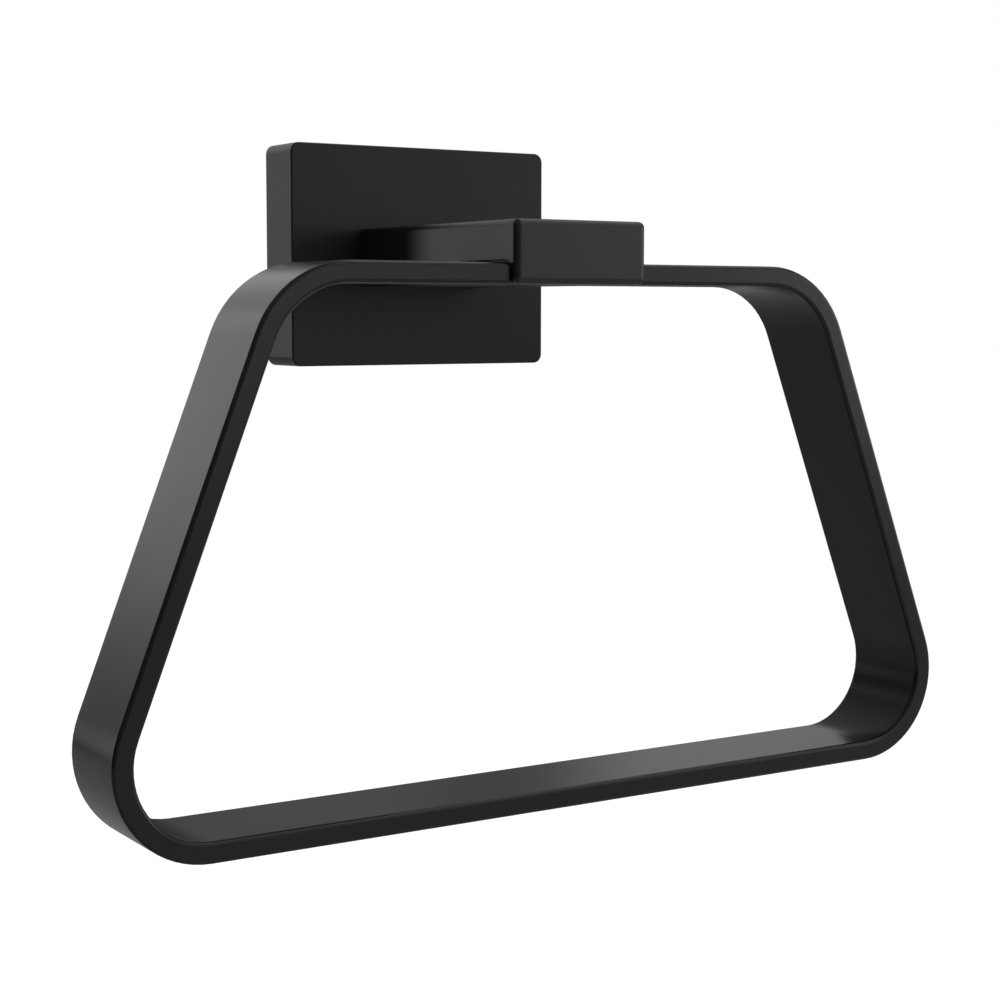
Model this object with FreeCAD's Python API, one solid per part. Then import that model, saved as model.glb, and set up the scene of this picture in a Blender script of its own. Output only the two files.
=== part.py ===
import FreeCAD, Part
import math
import os

# Towel ring for a wall. A square arm screwed to a hollow wall plate carries a flat strip ring in a slot.
# The plate hooks over a folded bracket on the wall, and a grub screw in its underside locks it there.
# All sizes are in millimetres. X is to the right, +Y goes into the wall and Z is up.
# The origin lies on the wall, behind the middle of the plate.

# Wall plate, a hollow casting
plate_width = 76.5
plate_height = 57.0
plate_depth = 14.5
plate_corner_radius = 2.4
plate_edge_radius = 0.4
plate_side_wall = 2.5
plate_front_wall = 3.5
plate_inner_radius = 1.5
plate_draft_angle = 1.0
plate_pad_margin = 1.5
plate_pad_thickness = 1.0
plate_rib_spacing = 48.0
plate_rib_thickness = 1.8
plate_rib_depth = 4.0

# Arm, a solid bar
arm_width = 37.0
arm_height = 15.0
arm_reach = 89.2
arm_drop = 0.5
arm_edge_radius = 1.5

# Ring, a flat strip bent and welded closed
strip_width = 24.6
strip_thickness = 5.0
strip_edge_radius = 0.9
ring_width = 234.0
ring_height = 130.0
ring_lean_angle = 21.3
ring_upper_radius = 25.0
ring_lower_radius = 22.5

# Slot across the arm's underside, with a land that the strip seats on
slot_lip = 1.6
slot_side_gap = 0.6
slot_top_gap = 0.7
slot_corner_radius = 3.0
land_side_margin = 4.5
land_end_margin = 2.5

# Folded wall bracket
bracket_thickness = 2.0
bracket_width = 52.0
bracket_wing_height = 24.0
bracket_corner_radius = 3.0
bracket_flange_width = 34.0
bracket_flange_reach = 7.5
bracket_flange_height = 21.0
bracket_bend_radius = 1.0
wall_slot_spacing = 36.0
wall_slot_length = 8.0
wall_slot_width = 5.0

# Hook inside the plate's top and boss inside its underside
hook_width = 24.0
hook_engagement = 2.0
hook_tip_gap = 0.4
hook_lip_thickness = 2.0
boss_width = 9.0
boss_setback = 0.8
lift_gap = 0.4

# Screws
arm_screw_margin = 9.5
arm_screw_radius = 2.5
arm_screw_length = 20.0
arm_screw_head_radius = 4.6
arm_screw_head_height = 3.0
arm_screw_head_edge = 0.9
arm_screw_recess_width = 1.2
arm_screw_recess_span = 5.0
arm_screw_recess_depth = 1.7
lock_washer_outer_radius = 4.4
lock_washer_thickness = 1.2
lock_washer_slit = 0.8
ring_screw_margin = 9.5
ring_screw_radius = 2.0
ring_screw_length = 12.0
ring_screw_head_radius = 3.9
ring_screw_sink = 0.2
ring_screw_socket = 2.5
ring_screw_socket_depth = 1.6
set_screw_radius = 2.0
set_screw_length = 10.0
set_screw_inset = 1.1
set_screw_socket = 2.0
set_screw_socket_depth = 3.0

# Clearances, and how far a cutter runs past the face that it opens
thread_clearance = 0.05
washer_clearance = 0.1
screw_hole_clearance = 0.25
seat_clearance = 0.02
run_out = 1.0

# Places that follow from the sizes above
plate_front = -plate_depth
cavity_floor = plate_front + plate_front_wall
cavity_width = plate_width - 2 * plate_side_wall
cavity_height = plate_height - 2 * plate_side_wall
rooted_height = plate_height / 2 - plate_side_wall / 2
pad_face = cavity_floor + plate_pad_thickness
arm_bottom = -arm_height / 2 - arm_drop
arm_screw_x = arm_width / 2 - arm_screw_margin
arm_screw_seat = pad_face + lock_washer_thickness
ring_front = -arm_reach + slot_lip + slot_side_gap
ring_back = ring_front + strip_width
ring_middle = ring_front + strip_width / 2
ring_underside = arm_bottom
ring_top = ring_underside + strip_thickness
ring_screw_x = arm_width / 2 - ring_screw_margin
slot_top = ring_top + slot_top_gap
flange_root = bracket_flange_height - bracket_flange_reach
boss_top = -(bracket_flange_height + hook_engagement + lift_gap)
set_screw_y = -(bracket_flange_reach - set_screw_inset - set_screw_radius)
set_screw_tip = -(flange_root - set_screw_y) - seat_clearance
set_screw_end = set_screw_tip - set_screw_length


def vector(x, y, z):
    return FreeCAD.Vector(x, y, z)


up = vector(0, 0, 1)
into_wall = vector(0, 1, 0)


def block(x, y, z):
    """A box between the low and high ends given for each axis."""
    return Part.makeBox(x[1] - x[0], y[1] - y[0], z[1] - z[0], vector(x[0], y[0], z[0]))


def both_ways(half_size):
    return (-half_size, half_size)


def rounded_rectangle(width, height, radius, y):
    """A closed wire in the plane Y = y, centred on the Y axis."""
    corners = []
    for quarter, (side_x, side_z) in enumerate([(1, 1), (-1, 1), (-1, -1), (1, -1)]):
        centre = vector(side_x * (width / 2 - radius), y, side_z * (height / 2 - radius))
        points = []
        for eighth in range(3):
            angle = math.radians(90 * quarter + 45 * eighth)
            points.append(centre + vector(math.cos(angle), 0, math.sin(angle)) * radius)
        corners.append(points)
    return arcs_joined(corners)


def arcs_joined(turns):
    """A closed wire through arcs of three points each, with a straight run from each to the next."""
    edges = []
    for points, following in zip(turns, turns[1:] + turns[:1]):
        edges.append(Part.Arc(*points).toShape())
        edges.append(Part.LineSegment(points[-1], following[0]).toShape())
    return Part.Wire(edges)


def slab(outline, depth):
    """The solid that an outline makes when it is drawn out along Y."""
    return Part.Face(outline).extrude(into_wall * depth)


def prism_along_x(outline, half_width):
    """A solid with the outline (Y, Z) from -half_width to half_width."""
    points = [vector(-half_width, y, z) for y, z in outline]
    face = Part.Face(Part.makePolygon(points + points[:1]))
    return face.extrude(vector(2 * half_width, 0, 0))


def hexagon_prism(across_flats, base, depth):
    """A hexagonal prism that stands on a base point."""
    radius = across_flats / math.sqrt(3)
    points = []
    for corner in range(7):
        angle = math.radians(60 * corner)
        points.append(base + vector(math.cos(angle), math.sin(angle), 0) * radius)
    return Part.Face(Part.makePolygon(points)).extrude(up * depth)


def near(a, b):
    return abs(a - b) < 1e-4


def edges_where(shape, test):
    """The edges whose middle passes the test."""
    found = []
    for edge in shape.Edges:
        if test(edge.valueAt((edge.FirstParameter + edge.LastParameter) / 2)):
            found.append(edge)
    return found


# Wall plate
def plate_cavity():
    """The drafted hollow of the casting."""
    draft = (plate_depth - plate_front_wall) * math.tan(math.radians(plate_draft_angle))
    rim = rounded_rectangle(cavity_width, cavity_height, plate_inner_radius, 0)
    floor_size = (cavity_width - 2 * draft, cavity_height - 2 * draft)
    floor = rounded_rectangle(*floor_size, plate_inner_radius, cavity_floor)
    return Part.makeLoft([rim, floor], True, True)


def plate_hook():
    """The rib that drops behind the bracket's upper flange and bears on its slope."""
    tip_z = bracket_flange_height + hook_tip_gap
    lip_z = bracket_flange_height - hook_engagement
    lip_y = flange_root - lip_z
    outline = [
        (cavity_floor, rooted_height),
        (cavity_floor, tip_z),
        (flange_root - tip_z, tip_z),
        (lip_y, lip_z),
        (lip_y + hook_lip_thickness, lip_z),
        (lip_y + hook_lip_thickness, rooted_height),
    ]
    return prism_along_x(outline, hook_width / 2)


def plate_features():
    """Everything that stands on the floor of the hollow: pad, hook, screw boss and ribs."""
    pad_size = (arm_width - 2 * plate_pad_margin, arm_height - 2 * plate_pad_margin)
    pad = slab(rounded_rectangle(*pad_size, plate_inner_radius, cavity_floor), plate_pad_thickness)
    pad.translate(up * -arm_drop)
    boss = block(both_ways(boss_width / 2), (cavity_floor, -boss_setback), (-rooted_height, boss_top))
    features = [pad, plate_hook(), boss]
    for side in (-1, 1):
        rib = block(
            both_ways(plate_rib_thickness / 2),
            (cavity_floor, cavity_floor + plate_rib_depth),
            both_ways(rooted_height),
        )
        rib.translate(vector(side * plate_rib_spacing / 2, 0, 0))
        features.append(rib)
    return features


def wall_plate():
    outline = rounded_rectangle(plate_width, plate_height, plate_corner_radius, plate_front)
    shell = slab(outline, plate_depth)
    shell = shell.makeFillet(plate_edge_radius, edges_where(shell, lambda p: near(p.y, plate_front)))
    body = shell.cut(plate_cavity()).fuse(plate_features()).removeSplitter()
    hole_radius = arm_screw_radius + screw_hole_clearance
    for side in (-1, 1):
        start = vector(side * arm_screw_x, plate_front - run_out, -arm_drop)
        body = body.cut(Part.makeCylinder(hole_radius, plate_depth, start, into_wall))
    start = vector(0, set_screw_y, -plate_height / 2 - run_out)
    return body.cut(Part.makeCylinder(set_screw_radius + thread_clearance, plate_height / 2, start, up))


# Wall bracket
def wall_slot(side):
    """The cutter for a slot with round ends, lying along X."""
    radius = wall_slot_width / 2
    straight = (wall_slot_length - wall_slot_width) / 2
    cutter = block(both_ways(straight), (-bracket_thickness, 0), both_ways(radius))
    ends = []
    for x in both_ways(straight):
        start = vector(x, -bracket_thickness, 0)
        ends.append(Part.makeCylinder(radius, bracket_thickness, start, into_wall))
    cutter = cutter.fuse(ends).removeSplitter()
    cutter.translate(vector(side * wall_slot_spacing / 2, 0, 0))
    return cutter


def wall_bracket():
    """Sheet with a flange folded out at 45 degrees along its upper and lower edges."""
    reach, height = bracket_flange_reach, bracket_flange_height
    square = bracket_thickness / math.sqrt(2)
    inner_z = flange_root + bracket_thickness - 2 * square
    upper = [
        (0, flange_root),
        (-reach, height),
        (-reach - square, height - square),
        (-bracket_thickness, inner_z),
    ]
    outline = upper + [(y, -z) for y, z in reversed(upper)]
    sheet = prism_along_x(outline, bracket_flange_width / 2)
    inner_bends = edges_where(sheet, lambda p: near(p.y, -bracket_thickness) and near(abs(p.z), inner_z))
    sheet = sheet.makeFillet(bracket_bend_radius, inner_bends)
    outer_bends = edges_where(sheet, lambda p: near(p.y, 0) and near(abs(p.z), flange_root))
    sheet = sheet.makeFillet(bracket_bend_radius + bracket_thickness, outer_bends)
    wing_size = (bracket_width, bracket_wing_height)
    wings = rounded_rectangle(*wing_size, bracket_corner_radius, -bracket_thickness)
    body = sheet.fuse(slab(wings, bracket_thickness)).removeSplitter()
    return body.cut([wall_slot(-1), wall_slot(1)])


def set_screw():
    """Grub screw with a cone point and a hexagon socket, standing in the plate's boss."""
    shank_base = vector(0, set_screw_y, set_screw_end)
    cone_base = vector(0, set_screw_y, set_screw_tip - set_screw_radius)
    shank = Part.makeCylinder(set_screw_radius, set_screw_length - set_screw_radius, shank_base, up)
    point = Part.makeCone(set_screw_radius, 0, set_screw_radius, cone_base, up)
    socket = hexagon_prism(set_screw_socket, shank_base, set_screw_socket_depth)
    return shank.fuse(point).removeSplitter().cut(socket)


# Arm
def arm():
    outline = rounded_rectangle(arm_width, arm_height, arm_edge_radius, -arm_reach)
    bar = slab(outline, arm_reach - plate_depth)
    bar.translate(up * -arm_drop)
    bar = bar.makeFillet(arm_edge_radius, edges_where(bar, lambda p: near(p.y, -arm_reach)))
    slot_y = (ring_front - slot_side_gap, ring_back + slot_side_gap)
    slot = block(both_ways(arm_width), slot_y, (arm_bottom - run_out, slot_top))
    roof_edges = edges_where(slot, lambda p: near(p.x, 0) and near(p.z, slot_top))
    slot = slot.makeFillet(slot_corner_radius, roof_edges)
    bar = bar.cut(slot)
    land_y = (ring_front + land_end_margin, ring_back - land_end_margin)
    land = block(both_ways(arm_width / 2 - land_side_margin), land_y, (ring_top, slot_top))
    bar = bar.fuse(land).removeSplitter()
    end_radius = arm_screw_radius + thread_clearance
    end_depth = arm_screw_length - (arm_screw_seat - plate_front) + run_out
    land_radius = ring_screw_radius + thread_clearance
    land_depth = ring_screw_length - (strip_thickness - ring_screw_sink) + run_out
    for side in (-1, 1):
        start = vector(side * arm_screw_x, plate_front, -arm_drop)
        bar = bar.cut(Part.makeCylinder(end_radius, end_depth, start, -into_wall))
        start = vector(side * ring_screw_x, ring_middle, ring_top)
        bar = bar.cut(Part.makeCylinder(land_radius, land_depth, start, up))
    return bar


def arm_screw(side):
    """Pan head screw from inside the plate into the end of the arm."""
    base = vector(side * arm_screw_x, arm_screw_seat, -arm_drop)
    top = arm_screw_seat + arm_screw_head_height
    head = Part.makeCylinder(arm_screw_head_radius, arm_screw_head_height, base, into_wall)
    head = head.makeChamfer(arm_screw_head_edge, edges_where(head, lambda p: near(p.y, top)))
    shank = Part.makeCylinder(arm_screw_radius, arm_screw_length, base, -into_wall)
    body = head.fuse(shank).removeSplitter()
    span, width = arm_screw_recess_span / 2, arm_screw_recess_width / 2
    recess_y = (top - arm_screw_recess_depth, top + run_out)
    for half_x, half_z in ((span, width), (width, span)):
        bar_of_cross = block(both_ways(half_x), recess_y, both_ways(half_z))
        bar_of_cross.translate(vector(base.x, 0, base.z))
        body = body.cut(bar_of_cross)
    return body


def lock_washer(side):
    """Split spring washer, pressed flat under the head."""
    centre = vector(side * arm_screw_x, pad_face, -arm_drop)
    outer = Part.makeCylinder(lock_washer_outer_radius, lock_washer_thickness, centre, into_wall)
    inner_radius = arm_screw_radius + washer_clearance
    flat_ring = outer.cut(Part.makeCylinder(inner_radius, lock_washer_thickness, centre, into_wall))
    slit_top = lock_washer_outer_radius + run_out
    slit = block(both_ways(lock_washer_slit / 2), (0, lock_washer_thickness), (0, slit_top))
    slit.translate(centre)
    return flat_ring.cut(slit)


# Ring
def ring_outline(inset):
    """The strip's outline in the plane of its front face, moved inwards by the inset."""
    lean = math.radians(ring_lean_angle)
    out = vector(math.cos(lean), 0, math.sin(lean))
    lower_z = ring_top - ring_height + ring_lower_radius
    lower = vector(ring_width / 2 - ring_lower_radius, ring_front, lower_z)
    upper_z = ring_top - ring_upper_radius
    leg_distance = lower.dot(out) + ring_lower_radius
    upper_x = (leg_distance - ring_upper_radius - upper_z * out.z) / out.x
    upper = vector(upper_x, ring_front, upper_z)
    right = []
    for centre, radius, start, end in (
        (upper, ring_upper_radius - inset, math.pi / 2, lean),
        (lower, ring_lower_radius - inset, lean, -math.pi / 2),
    ):
        points = []
        for angle in (start, (start + end) / 2, end):
            points.append(centre + vector(math.cos(angle), 0, math.sin(angle)) * radius)
        right.append(points)
    left = []
    for points in reversed(right):
        left.append([vector(-p.x, p.y, p.z) for p in reversed(points)])
    return arcs_joined(right + left)


def ring():
    strip = slab(ring_outline(0), strip_width).cut(slab(ring_outline(strip_thickness), strip_width))
    long_edges = edges_where(strip, lambda p: near(p.y, ring_front) or near(p.y, ring_back))
    strip = strip.makeFillet(strip_edge_radius, long_edges)
    hole_radius = ring_screw_radius + screw_hole_clearance
    mouth_radius = ring_screw_head_radius + ring_screw_sink + seat_clearance
    for side in (-1, 1):
        base = vector(side * ring_screw_x, ring_middle, ring_underside)
        strip = strip.cut(Part.makeCylinder(hole_radius, strip_thickness, base, up))
        strip = strip.cut(Part.makeCone(mouth_radius, 0, mouth_radius, base, up))
    return strip


def ring_screw(side):
    """Countersunk screw from below, through the strip into the arm."""
    base = vector(side * ring_screw_x, ring_middle, ring_underside + ring_screw_sink)
    head = Part.makeCone(ring_screw_head_radius, 0, ring_screw_head_radius, base, up)
    shank = Part.makeCylinder(ring_screw_radius, ring_screw_length, base, up)
    socket = hexagon_prism(ring_screw_socket, base, ring_screw_socket_depth)
    return head.fuse(shank).removeSplitter().cut(socket)


def main():
    nodes = {
        "wall_plate": wall_plate(),
        "wall_bracket": wall_bracket(),
        "set_screw": set_screw(),
        "arm": arm(),
        "ring": ring(),
    }
    for side, name in ((-1, "left"), (1, "right")):
        nodes["arm_screw_" + name] = arm_screw(side)
        nodes["lock_washer_" + name] = lock_washer(side)
        nodes["ring_screw_" + name] = ring_screw(side)
    os.makedirs("parts", exist_ok=True)
    for name, shape in nodes.items():
        [solid] = shape.Solids
        solid.exportStep("parts/" + name + ".step")


main()
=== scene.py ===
import math

import bpy
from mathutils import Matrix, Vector


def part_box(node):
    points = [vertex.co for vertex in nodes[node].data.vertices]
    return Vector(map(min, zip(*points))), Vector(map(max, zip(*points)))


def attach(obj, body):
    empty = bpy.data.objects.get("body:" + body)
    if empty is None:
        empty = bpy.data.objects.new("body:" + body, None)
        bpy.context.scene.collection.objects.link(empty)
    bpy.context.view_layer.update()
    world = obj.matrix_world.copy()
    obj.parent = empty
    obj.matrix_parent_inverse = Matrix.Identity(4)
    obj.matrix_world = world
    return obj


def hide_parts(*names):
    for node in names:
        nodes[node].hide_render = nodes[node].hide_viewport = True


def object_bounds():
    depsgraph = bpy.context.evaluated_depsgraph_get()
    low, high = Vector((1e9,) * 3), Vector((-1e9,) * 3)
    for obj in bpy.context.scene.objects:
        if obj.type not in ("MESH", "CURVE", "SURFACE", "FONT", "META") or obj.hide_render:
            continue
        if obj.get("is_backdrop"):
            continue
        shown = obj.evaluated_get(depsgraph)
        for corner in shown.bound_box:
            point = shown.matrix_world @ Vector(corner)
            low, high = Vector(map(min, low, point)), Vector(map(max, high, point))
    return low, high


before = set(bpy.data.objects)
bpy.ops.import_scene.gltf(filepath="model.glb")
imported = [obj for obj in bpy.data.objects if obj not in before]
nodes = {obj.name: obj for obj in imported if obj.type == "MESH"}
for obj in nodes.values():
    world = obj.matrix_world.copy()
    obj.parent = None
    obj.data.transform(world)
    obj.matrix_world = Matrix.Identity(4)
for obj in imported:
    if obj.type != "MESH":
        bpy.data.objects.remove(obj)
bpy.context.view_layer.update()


# Wall plate
# A hollow casting, ground smooth outside and coated satin black all over.
# Inside the hollow the coating lies on the cast skin, which was never ground.
class Shade:
    """A value in a finish. A sum written with it adds the nodes that work the sum out."""

    def __init__(self, tree, socket):
        self.tree = tree
        self.socket = socket

    def node(self, kind, settings, values, output=0):
        made = self.tree.nodes.new(kind)
        for name, setting in settings.items():
            setattr(made, name, setting)
        for name, value in values.items():
            if isinstance(value, Shade):
                self.tree.links.new(value.socket, made.inputs[name])
            else:
                made.inputs[name].default_value = value
        return Shade(self.tree, made.outputs[output])

    def maths(self, operation, *values):
        """A Math node on those values, or on this value alone."""
        return self.node("ShaderNodeMath", {"operation": operation}, dict(enumerate(values or (self,))))

    def __add__(self, other):
        return self.maths("ADD", self, other)

    def __sub__(self, other):
        return self.maths("SUBTRACT", self, other)

    def __rsub__(self, other):
        return self.maths("SUBTRACT", other, self)

    def __mul__(self, other):
        return self.maths("MULTIPLY", self, other)

    def __truediv__(self, other):
        return self.maths("DIVIDE", self, other)

    __radd__ = __add__
    __rmul__ = __mul__

    def __abs__(self):
        return self.maths("ABSOLUTE")

    def feed(self, shader, name):
        self.tree.links.new(self.socket, shader.inputs[name])


def new_finish(name):
    """A material, its shader, and the place on the part in metres that its patterns follow."""
    finish = bpy.data.materials.new(name)
    finish.use_nodes = True
    tree = finish.node_tree
    place = tree.nodes.new("ShaderNodeTexCoord").outputs["Object"]
    return finish, tree.nodes["Principled BSDF"], Shade(tree, place)


def axes(place):
    """The x, y and z of a place."""
    x = place.node("ShaderNodeSeparateXYZ", {}, {0: place})
    return [Shade(x.tree, x.socket.node.outputs[i]) for i in range(3)]


def grain(place, size, detail=2.0):
    """Uneven cloud from 0 to 1, whose patches are about that many metres across."""
    return place.node("ShaderNodeTexNoise", {}, {"Vector": place, "Scale": 1 / size, "Detail": detail})


def rise(value, start, end):
    """0 before start, 1 after end, and a smooth step between them."""
    span = {"Value": value, "From Min": start, "From Max": end}
    return value.node("ShaderNodeMapRange", {"interpolation_type": "SMOOTHSTEP"}, span)


def between(mask, first, second):
    """The first colour where the mask is 0 and the second where it is 1."""
    colours = {0: mask, 6: (*first, 1), 7: (*second, 1)}
    return mask.node("ShaderNodeMix", {"data_type": "RGBA"}, colours, output=2)


def raise_surface(shader, height):
    """Gives the surface that relief, in metres."""
    height.node("ShaderNodeBump", {}, {"Height": height, "Distance": 1.0}).feed(shader, "Normal")


def wear(node, finish):
    """Puts the finish on one of the part's own solids."""
    node.data.materials.clear()
    node.data.materials.append(finish)


coat_thin = (0.0062, 0.0068, 0.0065)
coat_thick = (0.0075, 0.0082, 0.0079)
coat_tint = (0.96, 1.0, 0.98)
ground_roughness = 0.35
cloud_size = 0.020
cloud_roughening = 0.05
orange_peel_size = 0.0022
orange_peel = 3.5e-6


def coat_black(shader, place, roughness, relief=0.0, roughening=0.0, shine=0.25):
    """Satin black powder coat, over whatever relief the metal under it has."""
    peel = grain(place, orange_peel_size, 1.0)
    cloud = grain(place, cloud_size)
    between(cloud, coat_thin, coat_thick).feed(shader, "Base Color")
    (roughness + cloud_roughening * cloud + roughening).feed(shader, "Roughness")
    raise_surface(shader, peel * orange_peel + relief)
    shader.inputs["Specular IOR Level"].default_value = shine
    shader.inputs["Specular Tint"].default_value = (*coat_tint, 1)


hollow_half_width = 0.0357
hollow_half_height = 0.0260
hollow_floor = -0.0111
hollow_edge = 0.0003
cast_skin_size = 0.0009
cast_skin_depth = 2.0e-5
cast_skin_roughening = 0.08

plate_finish, shader, place = new_finish("satin_black_on_casting")
x, y, z = axes(place)
beside = rise(abs(x), hollow_half_width + hollow_edge, hollow_half_width)
above = rise(abs(z), hollow_half_height + hollow_edge, hollow_half_height)
hollow = beside * above * rise(y, hollow_floor - hollow_edge, hollow_floor)
cast_skin = grain(place, cast_skin_size, 3.0) * hollow
coat_black(shader, place, ground_roughness, cast_skin * cast_skin_depth, hollow * cast_skin_roughening)
wear(nodes["wall_plate"], plate_finish)


# Arm
# A solid bar with eased edges, sawn to length, with the ring's slot milled across its underside.
# It is coated with the plate, so the milled faces keep only faint tool lines under the coating.
slot_front = -0.0876
slot_back = -0.0618
slot_roof = -0.0023
slot_edge = 0.0002
tool_line = 2.5e-6
tool_line_width = 0.0004
tool_line_stretch = 0.02
bar_shine = 0.33

arm_finish, shader, place = new_finish("satin_black_on_bar")
x, y, z = axes(place)
in_slot = rise(y, slot_front - slot_edge, slot_front) * (1 - rise(y, slot_back, slot_back + slot_edge))
in_slot = in_slot * (1 - rise(z, slot_roof, slot_roof + slot_edge))
tool_path = place.node("ShaderNodeCombineXYZ", {}, {0: x * tool_line_stretch, 1: y, 2: z})
milled = grain(tool_path, tool_line_width) * in_slot
coat_black(shader, place, ground_roughness, milled * tool_line, shine=bar_shine)
wear(nodes["arm"], arm_finish)


# Ring
# Flat strip bent round four corners and butt welded at the middle of its top run.
# The weld is ground flush, so the coating shows no more than a shallow ripple there, and over
# the rolled strip it lies smoother than over the plate and the arm.
weld_ripple = 6.0e-6
weld_ripple_size = 0.0011
weld_middle = 0.0012
weld_side = 0.0032
below_top_run = -0.020
top_run_underside = -0.015
rolled_roughness = 0.215

ring_finish, shader, place = new_finish("satin_black_on_strip")
x, y, z = axes(place)
at_weld = (1 - rise(abs(x), weld_middle, weld_side)) * rise(z, below_top_run, top_run_underside)
coat_black(shader, place, rolled_roughness, grain(place, weld_ripple_size) * at_weld * weld_ripple)
wear(nodes["ring"], ring_finish)


# Wall bracket
# Two millimetre sheet steel, blanked, folded and zinc plated, so it is bright and a little cloudy.
# Rolling lines run along its faces, and the blanked edges are rougher.
zinc_bright = (0.62, 0.63, 0.635)
zinc_dull = (0.50, 0.51, 0.50)
rolling_line = 1.2e-6
blanked_edge = 8.0e-6

bracket_finish, shader, place = new_finish("zinc_plated_sheet")
x, y, z = axes(place)
across = place.node("ShaderNodeCombineXYZ", {}, {0: x * 0.03, 1: y, 2: z})
lines = grain(across, 0.0005, 3.0)
cloud = grain(place, 0.007, 3.0)
facing = place.node("ShaderNodeNewGeometry", {}, {}, output=1)
cut = rise(abs(axes(facing)[0]), 0.6, 0.9)
between(cloud, zinc_bright, zinc_dull).feed(shader, "Base Color")
(0.24 + 0.10 * cloud + 0.06 * lines + 0.15 * cut).feed(shader, "Roughness")
raise_surface(shader, lines * rolling_line + grain(place, 0.0006) * cut * blanked_edge)
shader.inputs["Metallic"].default_value = 1.0
wear(nodes["wall_bracket"], bracket_finish)


# Arm screws and lock washers
# Zinc plated steel. The heads are turned, which leaves fine rings round each screw's axis.
# They sit at the same distance to the left and right, so one pattern serves both.
screw_offset = 0.009
screw_height = -0.0005
turning_mark = 1.5e-6
turning_waves = 30000.0
screw_bright = (0.66, 0.66, 0.64)
screw_dull = (0.54, 0.54, 0.51)

screw_finish, shader, place = new_finish("zinc_plated_screw")
x, y, z = axes(place)
aside = abs(x) - screw_offset
upward = z - screw_height
from_axis = (aside * aside + upward * upward).maths("SQRT")
turned = (from_axis * turning_waves).maths("SINE")
cloud = grain(place, 0.002)
between(cloud, screw_bright, screw_dull).feed(shader, "Base Color")
(0.22 + 0.12 * cloud).feed(shader, "Roughness")
raise_surface(shader, turned * turning_mark)
shader.inputs["Metallic"].default_value = 1.0
for name in ("arm_screw_left", "arm_screw_right", "lock_washer_left", "lock_washer_right"):
    wear(nodes[name], screw_finish)


# Ring screws
# Hardened steel with a thin black oxide and a trace of oil, driven flush into the strip.
# The oxide is patchy, so the steel glints through it.
oxide_dark = (0.030, 0.030, 0.032)
oxide_worn = (0.085, 0.085, 0.090)

oxide_finish, shader, place = new_finish("black_oxide")
cloud = grain(place, 0.0011, 3.0)
worn = rise(cloud, 0.45, 0.8)
between(worn, oxide_dark, oxide_worn).feed(shader, "Base Color")
(0.34 - 0.08 * worn).feed(shader, "Roughness")
raise_surface(shader, grain(place, 0.0003) * 1.5e-6)
shader.inputs["Metallic"].default_value = 0.7
for name in ("ring_screw_left", "ring_screw_right"):
    wear(nodes[name], oxide_finish)


# Set screw
# A cone point grub screw, M4 by 10, with a rolled thread and a 2 mm hexagon socket.
# It is turned up through the plate's underside until its point presses on the bracket.
crest_radius = 0.00198
root_radius = 0.00156
pitch = 0.0007
end_chamfer = 0.0001
socket_half_width = 0.001
socket_depth = 0.003
socket_drill_tip = 0.0004
socket_chamfer = 0.00012
socket_mouth = 1.08
facets = 48
rows_per_turn = 8

low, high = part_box("set_screw")
axis_y = (low.y + high.y) / 2
length = high.z - low.z
cone_height = crest_radius
rows = round((length - cone_height) / pitch * rows_per_turn)


def thread_radius(rising, angle):
    """The screw's radius at that height and angle: flanks of 60 degrees, flat root, narrow crest."""
    phase = (rising / pitch - angle / (2 * math.pi)) % 1
    flank = min(1, max(0, 1.35 - 3.0 * abs(phase - 0.5)))
    run_in = min(1, rising / pitch)
    return root_radius + (crest_radius - root_radius) * flank * run_in


verts = []
faces = []
angles = [2 * math.pi * i / facets for i in range(facets)]


def add_loop(rising, radius_at):
    """One loop of points round the screw's axis, joined to the loop before it."""
    start = len(verts)
    for angle in angles:
        radius = radius_at(angle)
        verts.append((radius * math.cos(angle), axis_y + radius * math.sin(angle), low.z + rising))
    if start:
        for i in range(facets):
            j = (i + 1) % facets
            faces.append((start - facets + i, start - facets + j, start + j, start + i))


def hexagon(angle):
    """How far the socket's side is from the axis at that angle."""
    from_middle_of_side = (angle + math.pi / 6) % (math.pi / 3) - math.pi / 6
    return socket_half_width / math.cos(from_middle_of_side)


verts.append((0, axis_y, low.z + socket_depth + socket_drill_tip))
socket_end = len(verts)
for angle in angles:
    radius = hexagon(angle)
    verts.append((radius * math.cos(angle), axis_y + radius * math.sin(angle), low.z + socket_depth))
for i in range(facets):
    faces.append((0, socket_end + (i + 1) % facets, socket_end + i))
add_loop(socket_chamfer, hexagon)
add_loop(0.0, lambda angle: hexagon(angle) * socket_mouth)
add_loop(0.0, lambda angle: root_radius - end_chamfer)
for row in range(1, rows + 1):
    height = (length - cone_height) * row / rows
    add_loop(height, lambda angle: thread_radius(height, angle))
for step in (0.25, 0.5, 0.75, 0.97):
    add_loop(length - cone_height * (1 - step), lambda angle: crest_radius * (1 - step) * 0.98)
tip = len(verts)
verts.append((0, axis_y, high.z))
for i in range(facets):
    faces.append((tip - facets + i, tip - facets + (i + 1) % facets, tip))

screw_mesh = bpy.data.meshes.new("set_screw_threaded")
screw_mesh.from_pydata(verts, [], faces)
screw_mesh.polygons.foreach_set("use_smooth", [True] * len(screw_mesh.polygons))
screw_mesh.set_sharp_from_angle(angle=math.radians(35))
screw_mesh.materials.append(oxide_finish)
threaded_screw = bpy.data.objects.new("set_screw_threaded", screw_mesh)
bpy.context.scene.collection.objects.link(threaded_screw)
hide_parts("set_screw")
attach(threaded_screw, "root")


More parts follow.
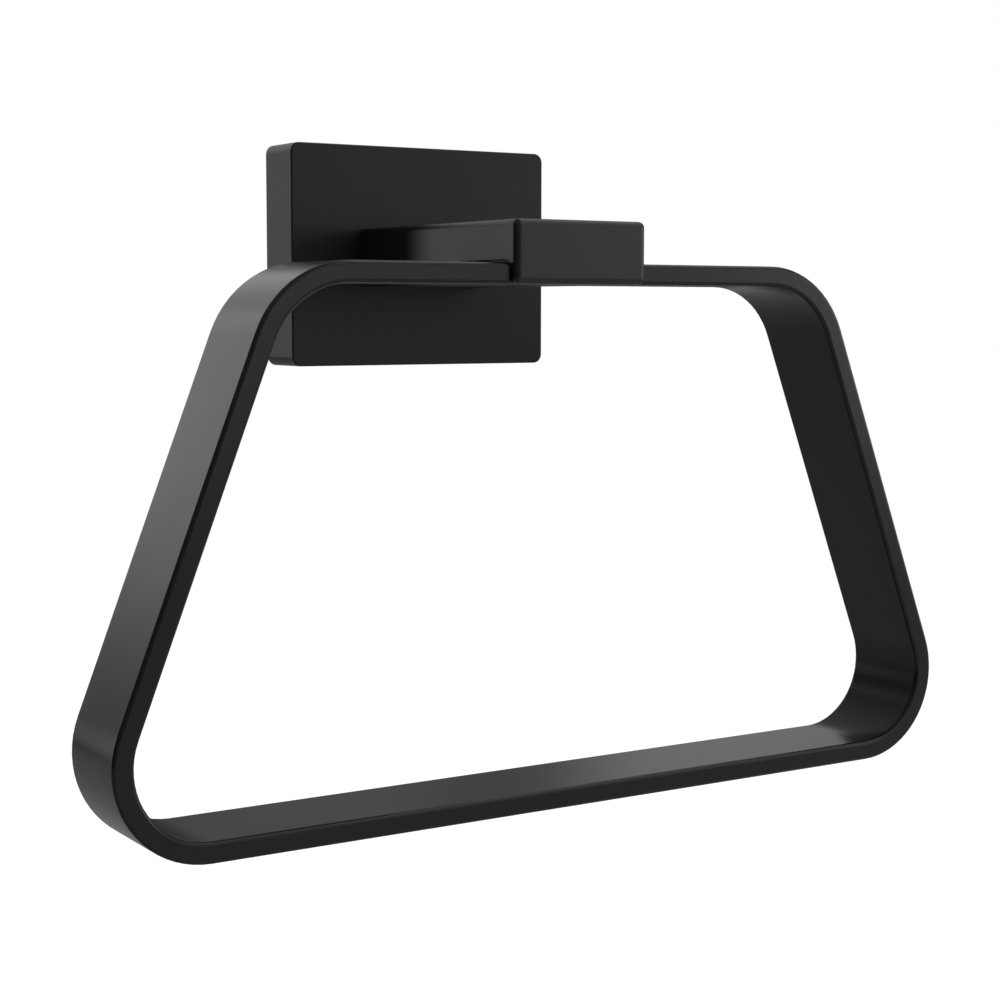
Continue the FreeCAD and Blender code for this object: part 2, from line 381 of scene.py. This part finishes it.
# Floor
# Plain pale floor, well below the ring, because the holder hangs on a wall.
# The camera sees it about as white as the backdrop, darkened only by the object's own shadow.
# A painted pool of light lies at its front right: the floor glows there for reflections only, and the
# coating's lower edges mirror that glow.
floor_height = -0.46
floor_radius = 2.2
rim_points = 72
floor_colour = (0.62, 0.62, 0.61)
floor_roughness = 0.9
camera_glow = 0.70
pool_rightward = 0.64
pool_forward = 0.77
pool_start = 0.05
pool_end = 0.40
pool_light = 0.26

floor_mesh = bpy.data.meshes.new("floor")
rim = []
for i in range(rim_points):
    angle = 2 * math.pi * i / rim_points
    rim.append((floor_radius * math.cos(angle), floor_radius * math.sin(angle), 0))
floor_mesh.from_pydata(rim, [], [tuple(range(len(rim)))])
floor = bpy.data.objects.new("floor", floor_mesh)
floor.location = (0, 0, floor_height)
bpy.context.scene.collection.objects.link(floor)
floor_finish, shader, place = new_finish("pale_floor")
shader.inputs["Base Color"].default_value = (*floor_colour, 1)
shader.inputs["Roughness"].default_value = floor_roughness
shader.inputs["Specular IOR Level"].default_value = 0.0
x, y, z = axes(place)
# Painted pool of light: an emission glow on the floor that only glossy rays see, cast by no lamp.
pool = rise(x * pool_rightward - y * pool_forward, pool_start, pool_end) * pool_light
seen = place.node("ShaderNodeLightPath", {}, {}, output=0)
mirrored = Shade(seen.tree, seen.socket.node.outputs["Is Glossy Ray"])
glow = seen * camera_glow + mirrored * pool
glow.node("ShaderNodeCombineColor", {}, {0: glow, 1: glow, 2: glow}).feed(shader, "Emission Color")
floor_finish.cycles.emission_sampling = "NONE"
shader.inputs["Emission Strength"].default_value = 1.0
floor_mesh.materials.append(floor_finish)
floor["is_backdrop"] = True


# Studio
# Soft boxes stand round the object, each given by where it is seen from it: its bearing from
# the front, its height, its half sizes and the widths over which its edges fade, in degrees.
world = bpy.data.worlds.new("studio")
world.use_nodes = True
bpy.context.scene.world = world
backdrop = world.node_tree.nodes["Background"]
toward = Shade(world.node_tree, world.node_tree.nodes.new("ShaderNodeTexCoord").outputs["Generated"])


def bearing(azimuth, elevation):
    """Unit vector to a place seen at that azimuth, from the front round by the right."""
    a = math.radians(azimuth)
    e = math.radians(elevation)
    return Vector((math.cos(e) * math.sin(a), -math.cos(e) * math.cos(a), math.sin(e)))


def along(vector):
    """How far the way looked in goes along that vector."""
    return toward.node("ShaderNodeVectorMath", {"operation": "DOT_PRODUCT"}, {0: toward, 1: vector}, output=1)


def soft_box(azimuth, elevation, half_width, half_height, side_fade, end_fade, strength):
    """A flat soft box square to the object, brightest in the middle."""
    centre = bearing(azimuth, elevation)
    rightward = bearing(azimuth + 90, 0)
    upward = rightward.cross(-centre)
    ahead = along(centre)
    distance = ahead.maths("MAXIMUM", ahead, 0.05)
    aside = abs(along(rightward)) / distance
    high = abs(along(upward)) / distance
    across = math.tan(math.radians(half_width))
    tall = math.tan(math.radians(half_height))
    side = math.tan(math.radians(side_fade))
    end = math.tan(math.radians(end_fade))
    lit = rise(across - aside, 0, side) * rise(tall - high, 0, end)
    return lit * rise(ahead, 0.05, 0.06) * strength


# Azimuth, elevation, half width, half height, side fade, end fade and strength of each box
soft_boxes = {
    "main box at the front right": (58.5, 4.5, 24, 13, 13.5, 9.5, 3.3),
    "fill in front": (24, 1, 15, 9.5, 9.5, 8.5, 1.6),
    "tall sheet behind": (179, 14.5, 18.5, 24, 7, 4.5, 0.9),
    "box behind at the left": (202.5, 17.5, 13.5, 12, 7, 4.5, 1.55),
    "low box behind at the left": (213.5, 0, 7.5, 8.5, 4.5, 5.5, 4.0),
    "strip behind at the right": (140, 15, 6, 8.5, 2, 7, 0.7),
    "card beside that strip": (153.5, 16.5, 6.5, 5.5, 4.5, 5, 0.35),
    "bank overhead": (85, 55, 38, 15, 18, 9, 1.5),
    "bank above the camera": (33, 31, 30, 20, 14, 13, 0.9),
    "weak fill at the right": (100, 0, 22, 12, 10, 8, 0.45),
}
studio_tint = (0.955, 1.0, 0.98)
room_light = 0.40
room_brightest = bearing(49, 73)
room_dark = -0.35
room_bright = 0.75

light = rise(along(room_brightest), room_dark, room_bright) * room_light
for box in soft_boxes.values():
    light = light + soft_box(*box)
path = toward.node("ShaderNodeLightPath", {}, {}, output=0)
through = Shade(path.tree, path.socket.node.outputs["Is Transmission Ray"])
white = path.maths("MAXIMUM", path, through)
strength = light * (1 - white) + white
strength.feed(backdrop, "Strength")
between(white, studio_tint, (1, 1, 1)).feed(backdrop, "Color")

bpy.context.scene.view_settings.view_transform = "Standard"


# Camera
# It stands to the left, a little below the arm and above the ring's middle, and looks slightly down.
view_data = bpy.data.cameras.new("camera")
view_data.lens = 71.58
view_data.sensor_width = 36
camera = bpy.data.objects.new("camera", view_data)
camera.location = (-0.2673, -0.4735, -0.0137)
camera.rotation_euler = (math.radians(90 - 5.49), math.radians(-0.08), math.radians(-32.455))
bpy.context.scene.collection.objects.link(camera)
bpy.context.scene.camera = camera

low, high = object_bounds()
